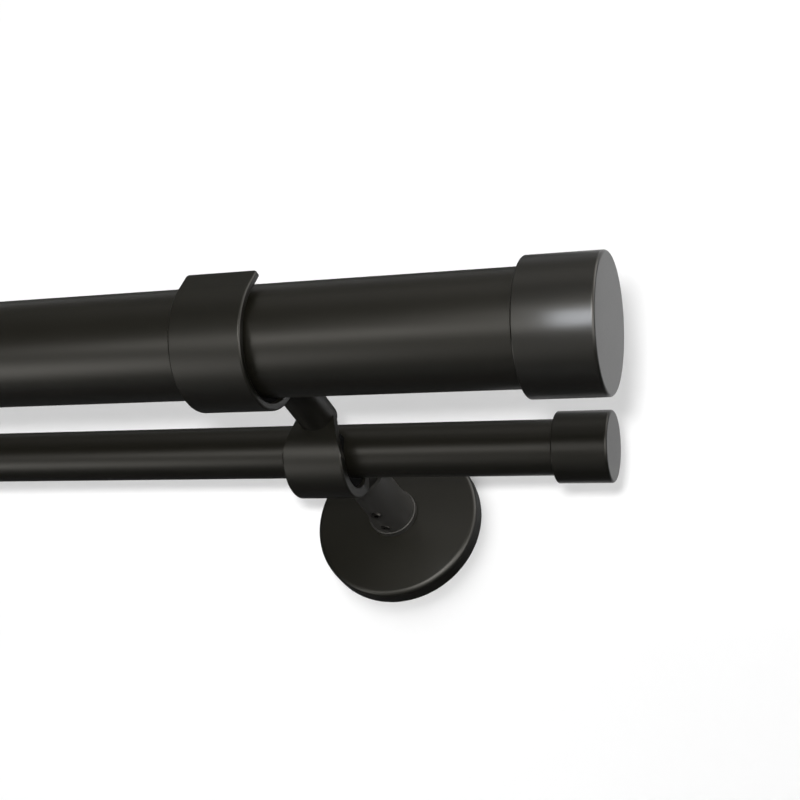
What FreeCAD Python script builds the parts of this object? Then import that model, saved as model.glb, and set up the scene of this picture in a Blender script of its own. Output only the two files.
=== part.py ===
import FreeCAD, Part
import os
import Sketcher
from FreeCAD import Placement, Rotation, Vector

# Double curtain pole, drawn as it hangs on the wall.
# X runs along the poles, Z is up and the wall is the plane Y = 0, with the room towards -Y.
# The origin is on the wall, midway between the two brackets, at the height of their arms.
# All lengths are in millimetres.

doc = FreeCAD.newDocument("DoubleCurtainPole")
sheet = doc.addObject("Spreadsheet::Sheet", "Sizes")

SIZES = [
    ("Front tube",),
    ("front_tube_length", 1200, "tube length without the caps"),
    ("front_tube_diameter", 35, "outside"),
    ("front_tube_wall", 1.2, "wall of the tube"),
    ("front_overhang", 113, "bracket centre to tube end"),
    ("front_reach", 155, "wall to tube centre"),
    ("front_drop", 8, "arm centre down to tube centre"),
    ("Rear tube",),
    ("rear_tube_diameter", 19, "outside"),
    ("rear_tube_wall", 1.0, "wall of the tube"),
    ("rear_overhang", 99, "bracket centre to tube end"),
    ("rear_reach", 77, "wall to tube centre"),
    ("rear_drop", 6, "arm centre down to tube centre"),
    ("End caps",),
    ("front_cap_length", 23.2, "outside length"),
    ("front_cap_wall", 2.9, "sleeve wall"),
    ("rear_cap_length", 18.7, "outside length"),
    ("rear_cap_wall", 2.5, "sleeve wall"),
    ("cap_face", 3, "thickness of the closed end"),
    ("cap_edge", 0.9, "rounding of the closed end"),
    ("cap_mouth_edge", 0.45, "rounding of the mouth"),
    ("cap_play", 0.1, "cap bore larger than the tube, on the radius"),
    ("Bracket",),
    ("arm_diameter", 13.2, "round bar"),
    ("arm_tail", 22, "wall to the rear end of the bar"),
    ("front_cradle_width", 24.1, "along the tube"),
    ("front_cradle_wall", 2.5, "thickness"),
    ("front_cradle_lip", 6, "top of the open cradle above the arm centre"),
    ("front_lip_start", 7.3, "tube centre up to where the cradle walls turn straight"),
    ("rear_cradle_width", 22.4, "along the tube"),
    ("rear_cradle_wall", 3.8, "thickness"),
    ("rear_shoulder", 15, "arm centre down to where the walls start to narrow"),
    ("cradle_edge", 0.7, "rounding of the cradle edges"),
    ("lip_corner", 1.2, "rounding of the lip corners, seen from the front"),
    ("Linings",),
    ("front_lining_thickness", 1.3, "soft strip in the front cradle"),
    ("rear_lining_thickness", 3.2, "insert in the rear cradle"),
    ("lining_play", 0.1, "gap on each side of the strip"),
    ("lining_inset", 2, "strip set back from the cradle ends"),
    ("front_lining_rise", 5, "ends of the strip above the tube centre"),
    ("Collar",),
    ("collar_length", 36, "front end to the seat on the rosette"),
    ("collar_wall", 1.4, "wall at the front end"),
    ("collar_growth", 0.25, "taper, on the radius"),
    ("collar_lip_radius", 9.8, "radius of the lip"),
    ("collar_lip_depth", 2.6, "depth of the lip"),
    ("collar_lip_edge", 0.4, "rounding of the lip"),
    ("collar_step", 0.5, "lip stands out from the end of the flare, on the radius"),
    ("collar_flare", 8, "length of the flare down to the lip"),
    ("collar_play", 0.05, "bore larger than the bar, on the radius"),
    ("Rosette",),
    ("rosette_diameter", 67, "outside"),
    ("rosette_rim", 7.6, "depth of the rim"),
    ("rosette_rise", 2.6, "centre of the face ahead of the rim"),
    ("rosette_sheet", 1.5, "sheet thickness"),
    ("rosette_edge", 2, "rounding of the rim"),
    ("rosette_seat", 0.4, "flat seat wider than the lip of the collar, on the radius"),
    ("rosette_hole_play", 0.4, "hole larger than the stub, on the radius"),
    ("Wall plate",),
    ("plate_thickness", 3, "disc"),
    ("plate_play", 0.4, "disc smaller than the inside of the rosette, on the radius"),
    ("stub_length", 21.4, "wall to the front end of the stub"),
    ("wall_hole_spacing", 38, "between the two holes"),
    ("wall_hole_diameter", 5, "hole for the wall screw"),
    ("wall_hole_sink", 1.6, "countersink"),
    ("Set screws",),
    ("screw_diameter", 4, "outside"),
    ("screw_length", 4, "end to end"),
    ("screw_socket", 2, "hexagon across the flats"),
    ("screw_socket_depth", 1.8, "depth of the hexagon"),
    ("screw_point", 0.6, "bevel at the point"),
    ("screw_play", 0.05, "hole larger than the screw, on the radius"),
    ("screw_seat", 1.7, "depth of the dimple in the bar and in the stub"),
    ("arm_screw_reach", 27.2, "wall to the screw on the arm"),
    ("plate_screw_reach", 15.8, "wall to the screw on the stub"),
]

row = 1
for entry in SIZES:
    sheet.set("A%d" % row, entry[0])
    if len(entry) > 1:
        sheet.set("B%d" % row, str(entry[1]))
        sheet.setAlias("B%d" % row, entry[0])
        sheet.set("C%d" % row, entry[2])
    row += 1

# Sizes that follow from the ones above.
DERIVED = [
    ("bracket_span", "front_tube_length - 2 * front_overhang"),
    ("rear_tube_length", "bracket_span + 2 * rear_overhang"),
    ("arm_radius", "arm_diameter / 2"),
    ("front_radius", "front_tube_diameter / 2"),
    ("rear_radius", "rear_tube_diameter / 2"),
    ("front_bore", "front_radius + front_lining_thickness + 2 * lining_play"),
    ("front_outer", "front_bore + front_cradle_wall"),
    ("wall_half", "sqrt(front_outer * front_outer - front_lip_start * front_lip_start)"),
    ("wall_lean", "front_lip_start / wall_half"),
    ("bore_share", "front_bore / front_outer"),
    ("rear_bore", "rear_radius + rear_lining_thickness + 2 * lining_play"),
    ("rear_outer", "rear_bore + rear_cradle_wall"),
    ("rosette_radius", "rosette_diameter / 2"),
    ("rosette_face", "rosette_rim + rosette_rise"),
    ("collar_front", "rosette_face + collar_length"),
    ("collar_bore", "arm_radius + collar_play"),
    ("collar_radius", "collar_bore + collar_wall"),
    ("collar_foot", "collar_radius + collar_growth"),
    ("collar_hollow", "0.9 * collar_flare * collar_flare / (collar_lip_radius - collar_step - collar_foot)"),
    ("seat_radius", "arm_radius - screw_seat"),
]
for alias, formula in DERIVED:
    sheet.set("A%d" % row, alias)
    sheet.set("B%d" % row, "=" + formula)
    sheet.setAlias("B%d" % row, alias)
    row += 1
doc.recompute()


def size(name):
    return float(sheet.get(name))


def bind(thing, prop, formula):
    """Tie one property to a formula in which each size is written as its plain name."""
    words = sorted({e[0] for e in SIZES if len(e) > 1} | {d[0] for d in DERIVED}, key=len, reverse=True)
    out = ""
    i = 0
    while i < len(formula):
        if formula[i].isalpha():
            j = i
            while j < len(formula) and (formula[j].isalnum() or formula[j] == "_"):
                j += 1
            word = formula[i:j]
            out += "Sizes." + word if word in words else word
            i = j
        else:
            out += formula[i]
            i += 1
    thing.setExpression(prop, out)


def new_body(label, x="0", y="0", z="0", turn=None):
    body = doc.addObject("PartDesign::Body", label)
    body.Label = label
    body.Placement = Placement(Vector(0, 0, 0), turn or Rotation())
    bind(body, ".Placement.Base.x", x)
    bind(body, ".Placement.Base.y", y)
    bind(body, ".Placement.Base.z", z)
    return body


def new_sketch(body, role, name, offset=None):
    """A sketch on one of the body's own planes, moved along the plane's normal by offset."""
    sketch = body.newObject("Sketcher::SketchObject", name)
    plane = [f for f in body.Origin.OriginFeatures if f.Role == role][0]
    sketch.AttachmentSupport = [(plane, "")]
    sketch.MapMode = "FlatFace"
    if offset:
        bind(sketch, ".AttachmentOffset.Base.z", offset)
    return sketch


def outline(sketch, points):
    """A closed outline of straight lines, each corner dimensioned from the origin."""
    first = sketch.GeometryCount
    count = len(points)
    rough = [Vector(10 * i + 1, (i % 2) * 7 + 1, 0) for i in range(count)]
    for i in range(count):
        sketch.addGeometry(Part.LineSegment(rough[i], rough[(i + 1) % count]), False)
    for i in range(count):
        sketch.addConstraint(Sketcher.Constraint("Coincident", first + i, 2, first + (i + 1) % count, 1))
    for i, (across, up) in enumerate(points):
        for kind, formula in (("DistanceX", across), ("DistanceY", up)):
            value = rough[i].x if kind == "DistanceX" else rough[i].y
            n = sketch.addConstraint(Sketcher.Constraint(kind, -1, 1, first + i, 1, value))
            bind(sketch, "Constraints[%d]" % n, formula)


def circle(sketch, across, up, diameter):
    """A circle dimensioned from the origin."""
    g = sketch.addGeometry(Part.Circle(Vector(3, 5, 0), Vector(0, 0, 1), 2), False)
    n = sketch.addConstraint(Sketcher.Constraint("Diameter", g, 4))
    bind(sketch, "Constraints[%d]" % n, diameter)
    n = sketch.addConstraint(Sketcher.Constraint("DistanceX", -1, 1, g, 3, 3))
    bind(sketch, "Constraints[%d]" % n, across)
    n = sketch.addConstraint(Sketcher.Constraint("DistanceY", -1, 1, g, 3, 5))
    bind(sketch, "Constraints[%d]" % n, up)


def pad(body, sketch, length, midplane=False):
    feature = body.newObject("PartDesign::Pad", sketch.Name + "_pad")
    feature.Profile = sketch
    bind(feature, "Length", length)
    feature.Midplane = midplane
    sketch.Visibility = False
    return feature


def pocket(body, sketch, length, midplane=False, reverse=False):
    feature = body.newObject("PartDesign::Pocket", sketch.Name + "_cut")
    feature.Profile = sketch
    bind(feature, "Length", length)
    feature.Midplane = midplane
    feature.Reversed = reverse
    sketch.Visibility = False
    return feature


def revolve(body, sketch, axis):
    feature = body.newObject("PartDesign::Revolution", sketch.Name + "_turned")
    feature.Profile = sketch
    feature.ReferenceAxis = (sketch, [axis])
    feature.Angle = 360
    sketch.Visibility = False
    return feature


def round_edges(body, name, radius, wanted):
    """Round the edges of the body's last feature that the test wanted picks out."""
    doc.recompute()
    base = body.Tip
    names = ["Edge%d" % (i + 1) for i, e in enumerate(base.Shape.Edges) if wanted(e)]
    feature = body.newObject("PartDesign::Fillet", name)
    feature.Base = (base, names)
    bind(feature, "Radius", radius)
    return feature


def bevel_edges(body, name, width, wanted):
    doc.recompute()
    base = body.Tip
    names = ["Edge%d" % (i + 1) for i, e in enumerate(base.Shape.Edges) if wanted(e)]
    feature = body.newObject("PartDesign::Chamfer", name)
    feature.Base = (base, names)
    bind(feature, "Size", width)
    return feature


def is_circle(edge, radius, along, place):
    """True for a full circle of that radius whose centre lies at place along the axis."""
    if not isinstance(edge.Curve, Part.Circle) or not edge.isClosed():
        return False
    return abs(edge.Curve.Radius - radius) < 1e-4 and abs(getattr(edge.Curve.Center, along) - place) < 1e-4


def flat_at(edge, along, place):
    """True for an edge that lies wholly in the plane at place along the axis."""
    low = getattr(edge.BoundBox, along.upper() + "Min")
    high = getattr(edge.BoundBox, along.upper() + "Max")
    return abs(low - place) < 1e-4 and abs(high - place) < 1e-4


# Tubes: plain drawn tube, cut square.
def make_tube(label, length, diameter, wall, reach, drop):
    body = new_body(label, "0", "-" + reach, "-" + drop)
    ring = new_sketch(body, "YZ_Plane", label + "_ring")
    circle(ring, "0", "0", diameter)
    circle(ring, "0", "0", "%s - 2 * %s" % (diameter, wall))
    pad(body, ring, length, midplane=True)
    return body


# End caps: turned cups that slide over the tube ends up to the closed face.
def make_cap(label, side, end, length, radius, wall, reach, drop):
    turn = Rotation() if side > 0 else Rotation(Vector(0, 0, 1), 180)
    sign = "" if side > 0 else "-"
    body = new_body(label, "%s(%s)" % (sign, end), "-" + reach, "-" + drop, turn)
    profile = new_sketch(body, "XY_Plane", label + "_profile")
    bore = "%s + cap_play" % radius
    outside = "%s + cap_play + %s" % (radius, wall)
    depth = "-(%s - cap_face)" % length
    outline(profile, [("0", "0"), ("cap_face", "0"), ("cap_face", outside),
                      (depth, outside), (depth, bore), ("0", bore)])
    revolve(body, profile, "H_Axis")
    reach_r = size(radius) + size("cap_play") + size(wall)
    round_edges(body, label + "_edges", "cap_edge", lambda e: is_circle(e, reach_r, "x", size("cap_face")))
    round_edges(body, label + "_mouth", "cap_mouth_edge",
                lambda e: is_circle(e, reach_r, "x", size("cap_face") - size(length)))
    return body


# Bracket: one casting with the round arm, the closed-in rear cradle and the open front cradle.
def make_bracket(label, x):
    body = new_body(label, x)
    mid_rear = ("-rear_reach", "-rear_drop")
    mid_front = ("-front_reach", "-front_drop")

    # Rear cradle: a round floor with two upright walls as high as the arm's centre.
    floor = new_sketch(body, "YZ_Plane", label + "_rear_floor")
    circle(floor, mid_rear[0], mid_rear[1], "2 * rear_outer")
    pad(body, floor, "rear_cradle_width", midplane=True)
    walls = new_sketch(body, "YZ_Plane", label + "_rear_walls")
    outline(walls, [("-rear_reach - rear_outer", "-rear_drop"), ("-rear_reach + rear_outer", "-rear_drop"),
                    ("-rear_reach + rear_outer", "0"), ("-rear_reach - rear_outer", "0")])
    pad(body, walls, "rear_cradle_width", midplane=True)
    crown = new_sketch(body, "YZ_Plane", label + "_rear_crown")
    outline(crown, [("-rear_reach - rear_outer - 1", "0"), ("-rear_reach + rear_outer + 1", "0"),
                    ("-rear_reach + rear_outer + 1", "rear_outer"),
                    ("-rear_reach - rear_outer - 1", "rear_outer")])
    pocket(body, crown, "rear_cradle_width + 2", midplane=True)

    # Its walls narrow to the width of the arm.
    for side, sign in (("right", ""), ("left", "-")):
        taper = new_sketch(body, "XZ_Plane", label + "_rear_taper_" + side)
        outline(taper, [(sign + "(rear_cradle_width / 2)", "-rear_shoulder"), (sign + "arm_radius", "0"),
                        (sign + "arm_radius", "1"), (sign + "(rear_cradle_width / 2 + 2)", "1"),
                        (sign + "(rear_cradle_width / 2 + 2)", "-rear_shoulder")])
        pocket(body, taper, "2 * (rear_reach + rear_outer + 2)", midplane=True)

    # Front cradle: a short tube cut open at the top, whose walls end straight and lean inwards.
    shell = new_sketch(body, "YZ_Plane", label + "_front_shell")
    circle(shell, mid_front[0], mid_front[1], "2 * front_outer")
    pad(body, shell, "front_cradle_width", midplane=True)
    lean = "wall_half - (front_cradle_lip + front_drop - front_lip_start) * wall_lean"
    leaning = new_sketch(body, "YZ_Plane", label + "_front_walls")
    outline(leaning, [("-front_reach - wall_half", "front_lip_start - front_drop"),
                      ("-front_reach + wall_half", "front_lip_start - front_drop"),
                      ("-front_reach + (%s)" % lean, "front_cradle_lip"),
                      ("-front_reach - (%s)" % lean, "front_cradle_lip")])
    pad(body, leaning, "front_cradle_width", midplane=True)
    mouth = new_sketch(body, "YZ_Plane", label + "_front_mouth")
    outline(mouth, [("-front_reach - front_outer - 1", "front_cradle_lip"),
                    ("-front_reach + front_outer + 1", "front_cradle_lip"),
                    ("-front_reach + front_outer + 1", "front_outer + 1"),
                    ("-front_reach - front_outer - 1", "front_outer + 1")])
    pocket(body, mouth, "front_cradle_width + 2", midplane=True)

    # Arm: a round bar from the collar to the front cradle, then both cradles are bored out of it.
    bar = new_sketch(body, "XZ_Plane", label + "_bar", "arm_tail")
    circle(bar, "0", "0", "arm_diameter")
    pad(body, bar, "front_reach - arm_tail")
    bore = new_sketch(body, "YZ_Plane", label + "_front_bore")
    circle(bore, mid_front[0], mid_front[1], "2 * front_bore")
    pocket(body, bore, "front_cradle_width + 2", midplane=True)
    inner = "bore_share * wall_half - (arm_radius + 1 + front_drop - bore_share * front_lip_start) * wall_lean"
    inside = new_sketch(body, "YZ_Plane", label + "_front_inside")
    outline(inside, [("-front_reach - bore_share * wall_half", "bore_share * front_lip_start - front_drop"),
                     ("-front_reach + bore_share * wall_half", "bore_share * front_lip_start - front_drop"),
                     ("-front_reach + (%s)" % inner, "arm_radius + 1"),
                     ("-front_reach - (%s)" % inner, "arm_radius + 1")])
    pocket(body, inside, "front_cradle_width + 2", midplane=True)
    saddle = new_sketch(body, "YZ_Plane", label + "_rear_saddle")
    circle(saddle, mid_rear[0], mid_rear[1], "2 * rear_bore")
    pocket(body, saddle, "rear_cradle_width + 2", midplane=True)
    slot = new_sketch(body, "YZ_Plane", label + "_rear_slot")
    outline(slot, [("-rear_reach - rear_bore", "-rear_drop"), ("-rear_reach + rear_bore", "-rear_drop"),
                   ("-rear_reach + rear_bore", "arm_radius + 1"),
                   ("-rear_reach - rear_bore", "arm_radius + 1")])
    pocket(body, slot, "rear_cradle_width + 2", midplane=True)

    # The lip corners are rounded off and the sharp edges of both cradles are broken.
    half = size("front_cradle_width") / 2
    lip = size("front_cradle_lip")
    round_edges(body, label + "_lip_corners", "lip_corner",
                lambda e: flat_at(e, "z", lip) and (flat_at(e, "x", half) or flat_at(e, "x", -half)))
    round_edges(body, label + "_front_edges", "cradle_edge",
                lambda e: (flat_at(e, "x", half) or flat_at(e, "x", -half)) and e.BoundBox.YMax < -size("rear_reach")
                and isinstance(e.Curve, Part.Circle))
    side = size("rear_cradle_width") / 2
    round_edges(body, label + "_rear_edges", "cradle_edge",
                lambda e: (flat_at(e, "x", side) or flat_at(e, "x", -side)) and isinstance(e.Curve, Part.Circle))

    # Dimple under the bar for the point of the set screw.
    dimple = new_sketch(body, "XY_Plane", label + "_dimple", "-seat_radius")
    circle(dimple, "0", "-arm_screw_reach", "screw_diameter + 2 * screw_play")
    pocket(body, dimple, "arm_radius")
    return body


# Lining: a soft strip round the underside of each tube.
def make_front_lining(label, x):
    body = new_body(label, x, "-front_reach", "-front_drop")
    strip = new_sketch(body, "YZ_Plane", label + "_strip")
    circle(strip, "0", "0", "2 * (front_bore - lining_play)")
    circle(strip, "0", "0", "2 * (front_radius + lining_play)")
    pad(body, strip, "front_cradle_width - 2 * lining_inset", midplane=True)
    top = new_sketch(body, "YZ_Plane", label + "_top")
    outline(top, [("-front_outer", "front_lining_rise"), ("front_outer", "front_lining_rise"),
                  ("front_outer", "front_outer"), ("-front_outer", "front_outer")])
    pocket(body, top, "front_cradle_width", midplane=True)
    return body


def make_rear_lining(label, x):
    body = new_body(label, x, "-rear_reach", "-rear_drop")
    strip = new_sketch(body, "YZ_Plane", label + "_strip")
    circle(strip, "0", "0", "2 * (rear_bore - lining_play)")
    circle(strip, "0", "0", "2 * (rear_radius + lining_play)")
    pad(body, strip, "rear_cradle_width - 2 * lining_inset", midplane=True)
    top = new_sketch(body, "YZ_Plane", label + "_top")
    outline(top, [("-rear_outer", "0"), ("rear_outer", "0"), ("rear_outer", "rear_outer"), ("-rear_outer", "rear_outer")])
    pocket(body, top, "rear_cradle_width", midplane=True)
    return body


# Collar: a turned socket with a rolled lip, which joins the bar to the stub of the wall plate.
def make_collar(label, x):
    body = new_body(label, x)
    profile = new_sketch(body, "XY_Plane", label + "_profile")
    outline(profile, [("collar_bore", "-collar_front"), ("collar_radius", "-collar_front"),
                      ("collar_foot", "-rosette_face - collar_lip_depth - collar_flare"),
                      ("collar_lip_radius - collar_step", "-rosette_face - collar_lip_depth"),
                      ("collar_lip_radius", "-rosette_face - collar_lip_depth"),
                      ("collar_lip_radius", "-rosette_face"), ("collar_bore", "-rosette_face")])
    revolve(body, profile, "V_Axis")
    lip = -size("rosette_face") - size("collar_lip_depth")
    round_edges(body, label + "_hollow", "collar_hollow",
                lambda e: is_circle(e, size("collar_foot"), "y", lip - size("collar_flare")))
    round_edges(body, label + "_lip", "collar_lip_edge",
                lambda e: is_circle(e, size("collar_lip_radius"), "y", lip))
    for name, reach in (("arm", "arm_screw_reach"), ("plate", "plate_screw_reach")):
        hole = new_sketch(body, "XY_Plane", label + "_hole_" + name)
        circle(hole, "0", "-" + reach, "screw_diameter + 2 * screw_play")
        pocket(body, hole, "collar_lip_radius + 1")
    return body


# Rosette: a shallow pressed cone with a rolled rim, held on the wall by the collar's lip.
def make_rosette(label, x):
    body = new_body(label, x)
    profile = new_sketch(body, "XY_Plane", label + "_profile")
    hole = "arm_radius + rosette_hole_play"
    inside = "rosette_radius - rosette_sheet"
    outline(profile, [("rosette_radius", "0"), ("rosette_radius", "-rosette_rim"),
                      ("collar_lip_radius + rosette_seat", "-rosette_face"), (hole, "-rosette_face"),
                      (hole, "-rosette_face + rosette_sheet"),
                      ("collar_lip_radius + rosette_seat", "-rosette_face + rosette_sheet"),
                      (inside, "-rosette_rim + rosette_sheet"), (inside, "0")])
    revolve(body, profile, "V_Axis")
    round_edges(body, label + "_edge", "rosette_edge",
                lambda e: is_circle(e, size("rosette_radius"), "y", -size("rosette_rim")))
    return body


# Wall plate: a disc with a stub for the collar and two countersunk holes.
def make_wall_plate(label, x):
    body = new_body(label, x)
    profile = new_sketch(body, "XY_Plane", label + "_profile")
    rim = "rosette_radius - rosette_sheet - plate_play"
    outline(profile, [("0", "0"), (rim, "0"), (rim, "-plate_thickness"), ("arm_radius", "-plate_thickness"),
                      ("arm_radius", "-stub_length"), ("0", "-stub_length")])
    revolve(body, profile, "V_Axis")
    holes = new_sketch(body, "XZ_Plane", label + "_holes")
    circle(holes, "0", "wall_hole_spacing / 2", "wall_hole_diameter")
    circle(holes, "0", "-wall_hole_spacing / 2", "wall_hole_diameter")
    pocket(body, holes, "2 * plate_thickness + 2", midplane=True)
    bevel_edges(body, label + "_sinks", "wall_hole_sink",
                lambda e: is_circle(e, size("wall_hole_diameter") / 2, "y", -size("plate_thickness")))
    dimple = new_sketch(body, "XY_Plane", label + "_dimple", "-seat_radius")
    circle(dimple, "0", "-plate_screw_reach", "screw_diameter + 2 * screw_play")
    pocket(body, dimple, "arm_radius")
    return body


# Set screw: headless, with a bevelled point upwards and a hexagon socket below.
def make_screw(label, x, reach):
    body = new_body(label, x, "-" + reach, "-seat_radius - screw_play - screw_length")
    shank = new_sketch(body, "XY_Plane", label + "_shank")
    circle(shank, "0", "0", "screw_diameter")
    pad(body, shank, "screw_length")
    bevel_edges(body, label + "_point", "screw_point",
                lambda e: is_circle(e, size("screw_diameter") / 2, "z", size("screw_length")))
    socket = new_sketch(body, "XY_Plane", label + "_socket")
    flat = "screw_socket / 2"
    corner = "screw_socket * 0.57735"
    outline(socket, [(corner, "0"), (corner + " / 2", flat), ("-" + corner + " / 2", flat), ("-" + corner, "0"),
                     ("-" + corner + " / 2", "-" + flat), (corner + " / 2", "-" + flat)])
    pocket(body, socket, "screw_socket_depth", reverse=True)
    return body


parts = [
    make_tube("front_tube", "front_tube_length", "front_tube_diameter", "front_tube_wall",
              "front_reach", "front_drop"),
    make_tube("rear_tube", "rear_tube_length", "rear_tube_diameter", "rear_tube_wall",
              "rear_reach", "rear_drop"),
]
for side, name, x in ((1, "right", "bracket_span / 2"), (-1, "left", "-bracket_span / 2")):
    parts.append(make_cap("front_cap_" + name, side, "front_tube_length / 2", "front_cap_length",
                          "front_radius", "front_cap_wall", "front_reach", "front_drop"))
    parts.append(make_cap("rear_cap_" + name, side, "rear_tube_length / 2", "rear_cap_length",
                          "rear_radius", "rear_cap_wall", "rear_reach", "rear_drop"))
    parts.append(make_bracket("bracket_" + name, x))
    parts.append(make_front_lining("front_lining_" + name, x))
    parts.append(make_rear_lining("rear_lining_" + name, x))
    parts.append(make_collar("collar_" + name, x))
    parts.append(make_rosette("rosette_" + name, x))
    parts.append(make_wall_plate("wall_plate_" + name, x))
    parts.append(make_screw("arm_screw_" + name, x, "arm_screw_reach"))
    parts.append(make_screw("plate_screw_" + name, x, "plate_screw_reach"))

doc.recompute()
for thing in doc.Objects:
    if "Invalid" in thing.State or "Error" in thing.State:
        raise RuntimeError("%s did not compute: %s" % (thing.Label, thing.State))
for body in parts:
    shape = body.Shape
    if shape.isNull() or not shape.isValid() or len(shape.Solids) != 1:
        raise RuntimeError("%s is not one sound solid" % body.Label)

os.makedirs("parts", exist_ok=True)
for body in parts:
    body.Shape.exportStep("parts/%s.step" % body.Label)
    print("%-18s %10.1f mm3" % (body.Label, body.Shape.Volume))
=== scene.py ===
# %% [markdown]
# # A double curtain pole on a white wall
#
# The object is a pair of black tubes, one wide and one slim, held off a wall by two brackets.
# Every piece of it is hard and was drawn to size beforehand, so this lesson doesn't model the
# pieces again. It is about the other half of a good picture: a black finish that still shows its
# form, and light that draws long soft bands along round metal.

import math

import bmesh
import bpy
from mathutils import Matrix, Vector


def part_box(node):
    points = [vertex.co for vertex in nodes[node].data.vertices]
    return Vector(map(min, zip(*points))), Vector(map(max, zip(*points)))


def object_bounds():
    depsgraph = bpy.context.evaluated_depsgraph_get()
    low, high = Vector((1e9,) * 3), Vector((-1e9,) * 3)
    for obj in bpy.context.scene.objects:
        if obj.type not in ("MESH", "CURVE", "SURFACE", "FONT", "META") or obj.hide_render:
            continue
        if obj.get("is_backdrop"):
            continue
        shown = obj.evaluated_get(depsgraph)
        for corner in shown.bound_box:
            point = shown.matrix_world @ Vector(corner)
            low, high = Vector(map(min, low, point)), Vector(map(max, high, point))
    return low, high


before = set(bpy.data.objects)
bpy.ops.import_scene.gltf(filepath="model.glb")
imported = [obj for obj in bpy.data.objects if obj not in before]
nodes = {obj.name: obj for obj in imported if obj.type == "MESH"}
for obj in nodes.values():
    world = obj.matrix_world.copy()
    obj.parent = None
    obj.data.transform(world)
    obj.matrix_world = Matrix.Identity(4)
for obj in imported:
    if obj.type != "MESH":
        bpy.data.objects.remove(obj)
drawn_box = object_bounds()
print("pieces:", len(nodes))
print("box in metres:", [round(c, 4) for corner in drawn_box for c in corner])


# %% [markdown]
# ## Names for the places that matter
#
# X runs along the tubes, Z is up and the wall is the plane Y = 0, with the room towards -Y.
# Places are read from the pieces themselves, so that they stay right if a size changes. The
# picture shows the right bracket, so the camera is placed from the spot where it stands.

# %% Places
def middle(node):
    low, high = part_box(node)
    return (Vector(low) + Vector(high)) / 2


stand = Vector((middle("bracket_right").x, 0, 0))
print("the right bracket stands at x =", round(stand.x, 4))


# %% [markdown]
# ## Shader maths written as Python
#
# A procedural material is arithmetic on sockets. Adding Math nodes one by one is long to write
# and hard to read, so a small class wraps a socket and gives it the usual operators. An
# expression such as `1 - mask * 0.3` then builds its own nodes.

# %% A socket that can be added and multiplied
class Wire:
    def __init__(self, shader, socket):
        self.shader = shader
        self.socket = socket

    def math(self, operation, *others):
        return self.shader.maths(operation, self, *others)

    def __add__(self, other):
        return self.math("ADD", other)

    def __mul__(self, other):
        return self.math("MULTIPLY", other)

    def __sub__(self, other):
        return self.math("SUBTRACT", other)

    def __rsub__(self, other):
        return self.shader.maths("SUBTRACT", other, self)

    def at_most(self, other):
        return self.math("MINIMUM", other)

    def at_least(self, other):
        return self.math("MAXIMUM", other)


class Shader:
    """One material, lamp or world under construction."""

    def __init__(self, owner):
        owner.use_nodes = True
        self.tree = owner.node_tree
        self.tree.nodes.clear()

    def node(self, kind, settings, *values, out=0, **named):
        made = self.tree.nodes.new(kind)
        for name, value in settings.items():
            setattr(made, name, value)
        for key, value in list(enumerate(values)) + list(named.items()):
            key = key.replace("_", " ") if isinstance(key, str) else key
            if isinstance(value, Wire):
                self.tree.links.new(value.socket, made.inputs[key])
            else:
                made.inputs[key].default_value = value
        return Wire(self, made.outputs[out]) if made.outputs else made

    def maths(self, operation, *values):
        return self.node("ShaderNodeMath", {"operation": operation}, *values)

    def place(self):
        return self.node("ShaderNodeTexCoord", {}, out="Object")

    def blend(self, share, first, second):
        """A colour that goes from first to second as share goes from 0 to 1."""
        made = self.node("ShaderNodeMix", {"data_type": "RGBA"}, share, out=2)
        made.socket.node.inputs[6].default_value = (*first, 1)
        made.socket.node.inputs[7].default_value = (*second, 1)
        return made

    def rays(self, *kinds):
        """1 for a ray of any of these kinds and 0 for the rest."""
        flags = [self.node("ShaderNodeLightPath", {}, out="Is %s Ray" % kind) for kind in kinds]
        return sum(flags[1:], flags[0]).at_most(1.0)


# %% [markdown]
# ## Black powder coat
#
# All the metal that shows lies under a baked black powder. Powder melts into a skin that is
# never quite flat: it has a very fine orange peel, far too small to see as bumps but enough to
# soften a reflection. The colour itself is almost black and slightly warm. What makes the form
# readable is the clear upper surface of the skin, which mirrors like any plastic would: little
# when seen square on, and much more at a glancing angle.
#
# One function makes the finish. Each kind of piece passes its own colour, its roughness and,
# where it differs, its IOR, which sets how strongly the skin mirrors. The caps are turned and a
# little smoother than the tubes. The collar is rougher, and its lighter colour and stronger
# mirroring are painted light. The slim tube and its caps hang in the shade of the wide tube, and
# their weaker mirroring is painted shade. The brackets' slightly weaker mirroring is painted shade
# as well, and the front cap's stronger mirroring is a painted reflection.

# %% The coat
PEEL_SIZE = 0.0009          # metres between two dimples of the orange peel
PEEL_DEPTH = 0.0000025      # metres
PEEL_DULLNESS = 0.03        # change in roughness from a dimple to the ridge beside it
PATCH_SIZE = 0.030          # metres between slightly duller patches
PATCH_SHADE = 0.12          # the patches are up to this share darker or lighter
COAT_IOR = 1.41


def spread(colour, share):
    """Two colours, one darker and one lighter than this by that share."""
    return [c * (1 - share) for c in colour], [c * (1 + share) for c in colour]


def powder_coat(name, colour, roughness, patchiness=0.05, ior=COAT_IOR):
    finish = bpy.data.materials.new(name)
    s = Shader(finish)
    place = s.place()
    patch = s.node("ShaderNodeTexNoise", {}, place, Scale=1 / PATCH_SIZE, Detail=3.0, Roughness=0.55)
    peel = s.node("ShaderNodeTexNoise", {}, place, Scale=1 / PEEL_SIZE, Detail=1.0, Roughness=0.4)
    shade = s.blend(patch, *spread(colour, PATCH_SHADE))
    dull = (patch - 0.5) * patchiness + (peel - 0.5) * PEEL_DULLNESS + roughness
    bump = s.node("ShaderNodeBump", {}, Strength=0.6, Distance=PEEL_DEPTH, Height=peel)
    skin = s.node("ShaderNodeBsdfPrincipled", {}, Base_Color=shade, Roughness=dull, IOR=ior,
                  Normal=bump)
    s.node("ShaderNodeOutputMaterial", {}, Surface=skin)
    return finish


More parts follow.
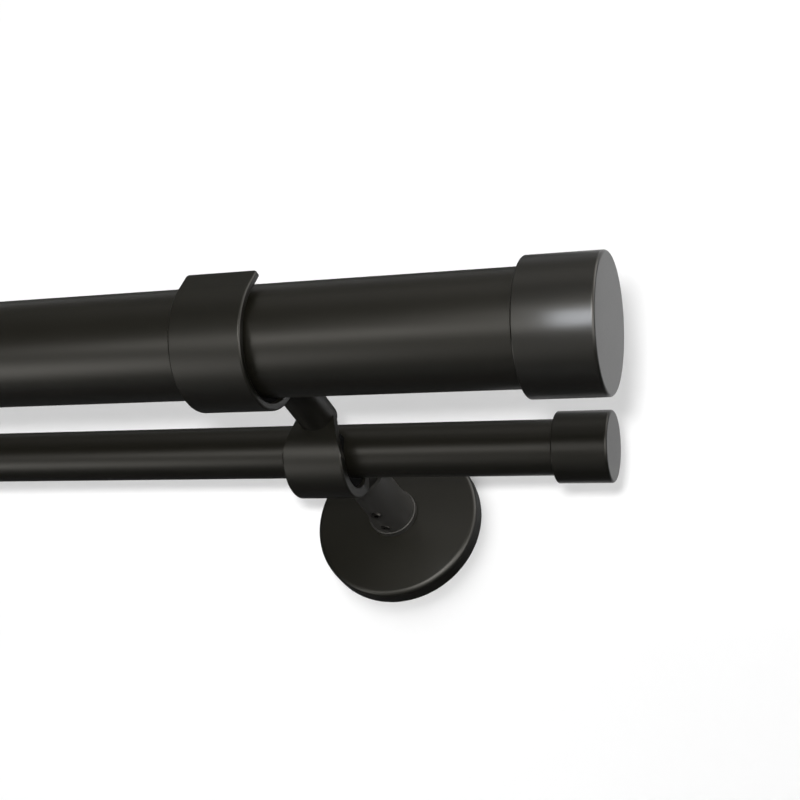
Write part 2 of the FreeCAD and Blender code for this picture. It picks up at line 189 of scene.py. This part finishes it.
TUBE_BLACK = (0.0051, 0.0047, 0.0034)
pole_coat = powder_coat("black_tube_coat", TUBE_BLACK, roughness=0.33)
# Painted shade: the slim tube's coat mirrors less than the wide tube's, for the shade the wide tube
# casts on it.
slim_pole_painted_shade_coat = powder_coat("black_slim_tube_painted_shade_coat", TUBE_BLACK, roughness=0.33, ior=1.35)
# Painted shade: the rear caps' coat mirrors less, for the shade of the wide tube.
rear_cap_painted_shade_coat = powder_coat("black_rear_cap_painted_shade_coat", (0.0051, 0.0048, 0.0037), roughness=0.30,
                       patchiness=0.03, ior=1.32)
# Painted reflection: the front cap's coat mirrors more than the other coats, for its bright highlight.
front_cap_painted_reflection_coat = powder_coat("black_front_cap_painted_reflection_coat", (0.0052, 0.0049, 0.0040), roughness=0.30,
                             patchiness=0.03, ior=1.47)
# Painted light: the collar's colour is lighter and its coat mirrors more, for light the room doesn't
# give it.
collar_painted_light_coat = powder_coat("black_collar_painted_light_coat", (0.0130, 0.0126, 0.0118), roughness=0.50, ior=1.55)
# Painted shade: the brackets' coat mirrors a little less than the wide tube's.
bracket_painted_shade_coat = powder_coat("black_bracket_painted_shade_coat", (0.0049, 0.0046, 0.0034), roughness=0.34, ior=1.39)
rosette_coat = powder_coat("black_rosette_coat", (0.0047, 0.0044, 0.0032), roughness=0.33,
                           patchiness=0.07)
print("coats made:", [m.name for m in bpy.data.materials if m.name.startswith("black_")])


# %% [markdown]
# ## The hidden metals and the soft lining
#
# The set screws are blackened steel: real metal, so its colour is the colour of its reflection.
# The wall plate is zinc plated. Zinc grows in crystals, which show as faint flat patches, and
# a Voronoi pattern gives each patch its own brightness. The lining is matt and takes nearly
# all light that gets into the narrow gap.

# %% Screws, wall plate and lining
GRAIN_DULLNESS = 0.08       # change in roughness from one crystal to the next
FIBRE_SIZE = 0.0005         # metres
FIBRE_DEPTH = 0.00004       # metres
FIBRE_DULLNESS = 0.1


def bare_metal(name, colour, roughness, grain_size, grain_contrast):
    finish = bpy.data.materials.new(name)
    s = Shader(finish)
    grain = s.node("ShaderNodeTexVoronoi", {}, s.place(), Scale=1 / grain_size, out="Color")
    level = s.node("ShaderNodeSeparateColor", {}, grain)
    shade = s.blend(level, *spread(colour, grain_contrast))
    skin = s.node("ShaderNodeBsdfPrincipled", {}, Base_Color=shade, Metallic=1.0,
                  Roughness=(level - 0.5) * GRAIN_DULLNESS + roughness)
    s.node("ShaderNodeOutputMaterial", {}, Surface=skin)
    return finish


def soft_strip(name, colour, roughness, ior):
    finish = bpy.data.materials.new(name)
    s = Shader(finish)
    fibre = s.node("ShaderNodeTexNoise", {}, s.place(), Scale=1 / FIBRE_SIZE, Detail=2.0)
    bump = s.node("ShaderNodeBump", {}, Strength=0.5, Distance=FIBRE_DEPTH, Height=fibre)
    skin = s.node("ShaderNodeBsdfPrincipled", {}, Base_Color=(*colour, 1),
                  Roughness=(fibre - 0.5) * FIBRE_DULLNESS + roughness, IOR=ior, Normal=bump)
    s.node("ShaderNodeOutputMaterial", {}, Surface=skin)
    return finish


screw_steel = bare_metal("blackened_steel", (0.060, 0.058, 0.056), roughness=0.34,
                         grain_size=0.0008, grain_contrast=0.10)
zinc_plate = bare_metal("zinc_plate", (0.52, 0.53, 0.55), roughness=0.38,
                        grain_size=0.0035, grain_contrast=0.07)
lining_felt = soft_strip("lining", (0.006, 0.006, 0.006), roughness=0.9, ior=1.05)


# %% [markdown]
# ## Dress the pieces
#
# Each piece keeps its drawn shape and only changes its finish. One table from the kind of piece
# to its finish keeps the right and left copies alike.

# %% Give every piece its finish
FINISHES = {
    "front_tube": pole_coat, "rear_tube": slim_pole_painted_shade_coat,
    "front_cap": front_cap_painted_reflection_coat, "rear_cap": rear_cap_painted_shade_coat,
    "bracket": bracket_painted_shade_coat, "collar": collar_painted_light_coat, "rosette": rosette_coat,
    "front_lining": lining_felt, "rear_lining": lining_felt,
    "wall_plate": zinc_plate, "arm_screw": screw_steel, "plate_screw": screw_steel,
}
for name, piece in sorted(nodes.items()):
    kind = name.removesuffix("_right").removesuffix("_left")
    for holder in piece.material_slots:
        holder.material = FINISHES[kind]
print("dressed:", len(nodes), "pieces")


# %% [markdown]
# ## The wall and the floor
#
# A curtain pole only makes sense on its wall, so the wall is the backdrop, and a pale floor lies
# well below. Each is one flat sheet. Its white has two parts: light that really falls on it,
# which the object can shade, and a plain glow that the camera and the reflections see. Seen from
# behind, a sheet is clear, so that the back of the object can be looked at.
#
# A glossy black tube mirrors the wall along its whole back. For the reflections the wall carries a
# painted shade: close behind the tubes it is painted almost black, while beyond the brackets, and
# far above and below, it grows bright. Only the reflections see this painted shade: to the camera
# the wall is white all over.

# %% Stage
WALL_HALF = 4.0             # metres from the middle to each edge
FLOOR_DROP = 0.95           # metres below the arms
WALL_GAP = 0.0002           # keeps the wall clear of the plates that stand on it
WALL_GREY, WALL_GLOW = 0.80, 0.065
FLOOR_GREY, FLOOR_GLOW = 0.75, 0.18

# Where the painted shade on the wall lifts in the reflections: start and end of each climb, in metres.
OUTER_CLIMB = (0.013, 0.063)        # outwards from the middle of each bracket
ARMS_CLIMB = (-0.06, 0.02)          # above the arms
OUTER_SHARE = 0.76                  # how much of its white the wall then shows
FAR_CLIMB = (0.15, 0.80)            # above or below FAR_CENTRE
FAR_CENTRE = 0.05                   # above the arms
FAR_SHARE = 0.50
PAINTED_SHADE_SHARE = 0.06                 # painted shade: the share of white left close behind the tubes


def pale_sheet(name, grey, glow, painted_shade_in_mirrors=None):
    """painted_shade_in_mirrors works out from the place how much of the white the reflections see: a
    painted shade on the sheet, for reflections only.
    """
    finish = bpy.data.materials.new(name)
    s = Shader(finish)
    white = 1.0
    if painted_shade_in_mirrors:
        # Painted shade: for reflections only, the sheet's colour and glow are darkened by the mask.
        white = 1 - s.rays("Glossy") * (1 - painted_shade_in_mirrors(s, s.place()))
    shade = s.node("ShaderNodeCombineColor", {}, *[white * grey] * 3)
    matt = s.node("ShaderNodeBsdfDiffuse", {}, Color=shade)
    seen = s.rays("Camera", "Glossy", "Transmission")
    light = s.node("ShaderNodeEmission", {}, Color=(1, 1, 1, 1), Strength=seen * glow * white)
    both = s.node("ShaderNodeAddShader", {}, matt, light)
    clear = s.node("ShaderNodeBsdfTransparent", {})
    behind = s.node("ShaderNodeNewGeometry", {}, out="Backfacing")
    front_or_clear = s.node("ShaderNodeMixShader", {}, behind, both, clear)
    s.node("ShaderNodeOutputMaterial", {}, Surface=front_or_clear)
    return finish


def sheet(name, finish, turn, at):
    mesh = bpy.data.meshes.new(name)
    bm = bmesh.new()
    bmesh.ops.create_grid(bm, x_segments=1, y_segments=1, size=WALL_HALF)
    bmesh.ops.transform(bm, matrix=Matrix.Translation(at) @ turn, verts=bm.verts)
    bm.to_mesh(mesh)
    bm.free()
    mesh.materials.append(finish)
    made = bpy.data.objects.new(name, mesh)
    bpy.context.scene.collection.objects.link(made)
    made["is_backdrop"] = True
    return made


def rise(s, value, climb, top=1.0):
    """0 up to the start of the climb, then a smooth way up to top at its end."""
    return s.node("ShaderNodeMapRange", {"interpolation_type": "SMOOTHSTEP"},
                  value, *climb, 0.0, top)


# A painted shade on the wall for the reflections: dark close behind the tubes, bright beyond the
# brackets and far above and below.
def wall_painted_shade_in_mirrors(s, place):
    across, _, height = (s.node("ShaderNodeSeparateXYZ", {}, place, out=n) for n in range(3))
    outwards = across.math("ABSOLUTE") - stand.x
    beyond_brackets = rise(s, outwards, OUTER_CLIMB) * rise(s, height, ARMS_CLIMB, top=OUTER_SHARE)
    far_off = rise(s, (height - FAR_CENTRE).math("ABSOLUTE"), FAR_CLIMB, top=FAR_SHARE)
    return beyond_brackets.at_least(far_off).at_least(PAINTED_SHADE_SHARE)


wall = sheet("wall", pale_sheet("wall_white_with_painted_shade", WALL_GREY, WALL_GLOW, wall_painted_shade_in_mirrors),
             Matrix.Rotation(math.radians(90), 4, "X"), (0, WALL_GAP, WALL_HALF - FLOOR_DROP))
floor = sheet("floor", pale_sheet("floor_pale", FLOOR_GREY, FLOOR_GLOW),
              Matrix.Identity(4), (0, -WALL_HALF, -FLOOR_DROP))
floor.visible_glossy = False        # the reflections show the room's soft patches there instead
print("wall faces", tuple(round(c, 2) for c in wall.data.polygons[0].normal))


# %% [markdown]
# ## The camera
#
# The picture is taken from low on the right, looking up and to the left, with a slight roll.
# Three angles say this more plainly than a matrix does: yaw turns to the left, pitch looks up
# and roll tilts the picture. The lens is given for a sensor 36 mm wide.

# %% Camera
CAMERA_FROM_BRACKET = Vector((0.18990, -0.46167, -0.20503))     # metres
YAW, PITCH, ROLL = 23.402, 27.609, 9.461                        # degrees
LENS, SENSOR = 59.54, 36.0                                      # millimetres
NEAREST, FARTHEST = 0.01, 50.0                                  # metres that the camera sees

yaw, pitch, roll = (math.radians(a) for a in (YAW, PITCH, ROLL))
ahead = Vector((-math.sin(yaw) * math.cos(pitch), math.cos(yaw) * math.cos(pitch), math.sin(pitch)))
level = Vector((math.cos(yaw), math.sin(yaw), 0))
upright = level.cross(ahead)
across = level * math.cos(roll) + upright * math.sin(roll)
upward = upright * math.cos(roll) - level * math.sin(roll)

camera_data = bpy.data.cameras.new("camera")
camera_data.lens = LENS
camera_data.sensor_width = SENSOR
camera_data.clip_start = NEAREST
camera_data.clip_end = FARTHEST
camera = bpy.data.objects.new("camera", camera_data)
camera_turn = Matrix((across, upward, -ahead)).transposed().to_4x4()
camera.matrix_world = Matrix.Translation(stand + CAMERA_FROM_BRACKET) @ camera_turn
bpy.context.scene.collection.objects.link(camera)
bpy.context.scene.camera = camera
print("camera looks along", [round(c, 3) for c in ahead])


# %% [markdown]
# ## The lamps
#
# Black paint shows lamps, not light, so it helps to give light and reflections separate lamps.
# Much of the light comes from one small round lamp beside the lens, a little above and left of
# it. The shadow then hides behind the tubes and shows only as a narrow soft edge at the lower
# right. A lamp so close to the wall would light one corner of the picture far more than the
# other, so its light is told not to fade with distance, and it isn't seen in reflections.
#
# A direction is easier to think about than a place: azimuth 0 is straight into the room, and
# positive is to the right.

# %% Lamp beside the lens
def facing(azimuth, elevation):
    a, e = math.radians(azimuth), math.radians(elevation)
    return Vector((math.sin(a) * math.cos(e), -math.cos(a) * math.cos(e), math.sin(e)))


def hang(name, data, at, way):
    """A lamp at a place. Way points from what it lights towards it."""
    lamp = bpy.data.objects.new(name, data)
    lamp.matrix_world = Matrix.Translation(at) @ way.to_track_quat("Z", "Y").to_matrix().to_4x4()
    lamp.visible_camera = False
    bpy.context.scene.collection.objects.link(lamp)
    return lamp


LAMP_LEFT, LAMP_ABOVE, LAMP_BACK = 0.018, 0.026, 0.012      # metres from the lens
LAMP_SIZE = 0.032                                           # metres across
LAMP_TURN_LEFT, LAMP_TURN_UP = 0.35, 0.65                   # aimed past the upper left corner
LAMP_LEVEL = 8.5                                            # set against the white wall

lamp_data = bpy.data.lights.new("lens_lamp", "AREA")
lamp_data.shape = "DISK"
lamp_data.size = LAMP_SIZE
lamp_data.energy = 1.0
s = Shader(lamp_data)
steady = s.node("ShaderNodeLightFalloff", {}, Strength=LAMP_LEVEL, out="Constant")
shine = s.node("ShaderNodeEmission", {}, Color=(1, 1, 1, 1), Strength=steady)
s.node("ShaderNodeOutputLight", {}, Surface=shine)
lens = camera.matrix_world.translation
lamp_place = lens - across * LAMP_LEFT + upward * LAMP_ABOVE - ahead * LAMP_BACK
lamp_aim = (ahead - across * LAMP_TURN_LEFT + upward * LAMP_TURN_UP).normalized()
lens_lamp = hang("lens_lamp", lamp_data, lamp_place, -lamp_aim)
lens_lamp.visible_glossy = False
print("lens lamp at", [round(c, 3) for c in lamp_place])


# %% [markdown]
# ## A broad lamp from the upper left
#
# In the picture the soft shadow beside the flat rosette is as wide as the one beside the tubes,
# which stand far off the wall. One lamp can't do both, so a second one, large and soft, shines
# from the upper left. Left alone it would throw two wide grey bands from the tubes across the
# wall. Light linking names what may block a lamp, and here only the rosettes may.

# %% Broad lamp
BROAD_WAY = (-36, 31)               # azimuth and elevation
BROAD_SPREAD = 56                   # degrees across, as the wall sees the lamp
BROAD_LEVEL = 2.15                  # pi lights a white sheet that faces the lamp to plain white

broad_data = bpy.data.lights.new("broad_lamp", "SUN")
broad_data.angle = math.radians(BROAD_SPREAD)
broad_data.energy = BROAD_LEVEL
broad_lamp = hang("broad_lamp", broad_data, (0, 0, 0), facing(*BROAD_WAY))
broad_lamp.visible_glossy = False
blockers = bpy.data.collections.new("block_the_broad_lamp")
for name in ("rosette_right", "rosette_left"):
    blockers.objects.link(nodes[name])
broad_lamp.light_linking.blocker_collection = blockers


# %% [markdown]
# ## Near strips for two highlights
#
# The front cap carries the strongest highlight of the picture, and the tubes beside it don't
# show it. The rosette has a softer one at its lower right, and nowhere else. A light that is
# far away would show in every piece that faces it, so each of the two comes from a small strip
# close in front of its piece. The strips only add their mirror image and no light of their own.

# %% Strips near the cap and the rosette
def near_strip(name, at, way, size, times_white, tint):
    width, height = size
    data = bpy.data.lights.new(name, "AREA")
    data.shape = "RECTANGLE"
    data.size, data.size_y = width, height
    data.energy = times_white * math.pi * width * height
    data.color = tint
    strip = hang(name, data, at, way)
    strip.visible_diffuse = False


CAP_STRIP_WAY = (-10, -23)          # azimuth and elevation
CAP_STRIP_AWAY = 0.052              # metres from the middle of the cap
CAP_STRIP_RIGHT = 0.014             # metres towards the closed end
CAP_STRIP_SIZE = (0.026, 0.016)     # metres, width and height
cap_way = facing(*CAP_STRIP_WAY)
cap_place = middle("front_cap_right") + Vector((CAP_STRIP_RIGHT, 0, 0)) + cap_way * CAP_STRIP_AWAY
near_strip("cap_strip", cap_place, cap_way, CAP_STRIP_SIZE, times_white=11.0, tint=(0.92, 0.96, 1.03))

ROSETTE_STRIP_WAY = (0, 0)
ROSETTE_STRIP_FROM_MIDDLE = Vector((0.026, -0.050, -0.019))     # metres
ROSETTE_STRIP_SIZE = (0.024, 0.018)
rosette_place = middle("rosette_right") + ROSETTE_STRIP_FROM_MIDDLE
near_strip("rosette_strip", rosette_place, facing(*ROSETTE_STRIP_WAY), ROSETTE_STRIP_SIZE,
           times_white=1.8, tint=(1.0, 0.98, 0.95))


# %% [markdown]
# ## The room in the reflections
#
# What the paint mirrors where there is no lamp is the room. It is dim, and has soft bright
# patches, most of them level with the tubes or below: windows and white cards would look like
# this. A patch is a direction, a width and a strength, and its edge fades as a bell curve does.
# The curve needs only one number, the cosine between the way that a ray leaves and the middle of
# the patch.
#
# The patches are for the reflections. As a source of light the room is the same on all sides,
# and to the camera it is white.

# %% Room
ROOM_LIGHT = 0.12           # what the room adds to the light on everything
ROOM_DIM = 0.05             # the room in the reflections, away from the patches
ROOM_TINT = (1.03, 1.0, 0.93)       # the room in the reflections is a little warm
SOFT_PATCHES = [            # azimuth, elevation, degrees out to half strength, strength
    (-67, -46, 10, 4.6),
    (-27, -26, 7, 6.7),
    (0, -7, 7, 8.9),
    (26, -34, 17, 3.4),
    (12, -11, 12, 8.2),
    (35, -10, 9, 6.6),
    (70, -12, 12, 6.0),
    (78, 42, 27, 4.5),
    (-23, 47, 14, 0.7),
    (-3, 16, 7, 1.4),
    (52, -20, 12, 1.4),
    (-47, -60, 19, 0.5),
]

world = bpy.data.worlds.new("room")
bpy.context.scene.world = world
s = Shader(world)
way_out = s.node("ShaderNodeTexCoord", {}, out="Generated")
glow = ROOM_DIM
for azimuth, elevation, half, strength in SOFT_PATCHES:
    steepness = math.log(2) / (1 - math.cos(math.radians(half)))
    nearness = s.node("ShaderNodeVectorMath", {"operation": "DOT_PRODUCT"}, way_out,
                      facing(azimuth, elevation), out="Value")
    glow = ((nearness - 1) * steepness).math("EXPONENT") * strength + glow
mirrored = s.rays("Glossy")
white = s.rays("Camera", "Transmission")
rest = (1 - mirrored - white).at_least(0.0)
room = s.node("ShaderNodeBackground", {}, Color=s.blend(mirrored, (1, 1, 1), ROOM_TINT),
              Strength=white + mirrored * glow + rest * ROOM_LIGHT)
s.node("ShaderNodeOutputWorld", {}, Surface=room)
bpy.context.scene.view_settings.view_transform = "Standard"
print("soft patches:", len(SOFT_PATCHES))


# %% [markdown]
# ## Check the size and finish
# Nothing here should change the object's real size, so its box is measured before and after and
# the largest change is printed.

# %% Finish
dressed_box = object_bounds()
changes = [abs(a - b) for drawn, dressed in zip(drawn_box, dressed_box) for a, b in zip(drawn, dressed)]
print("largest change in metres:", max(changes))
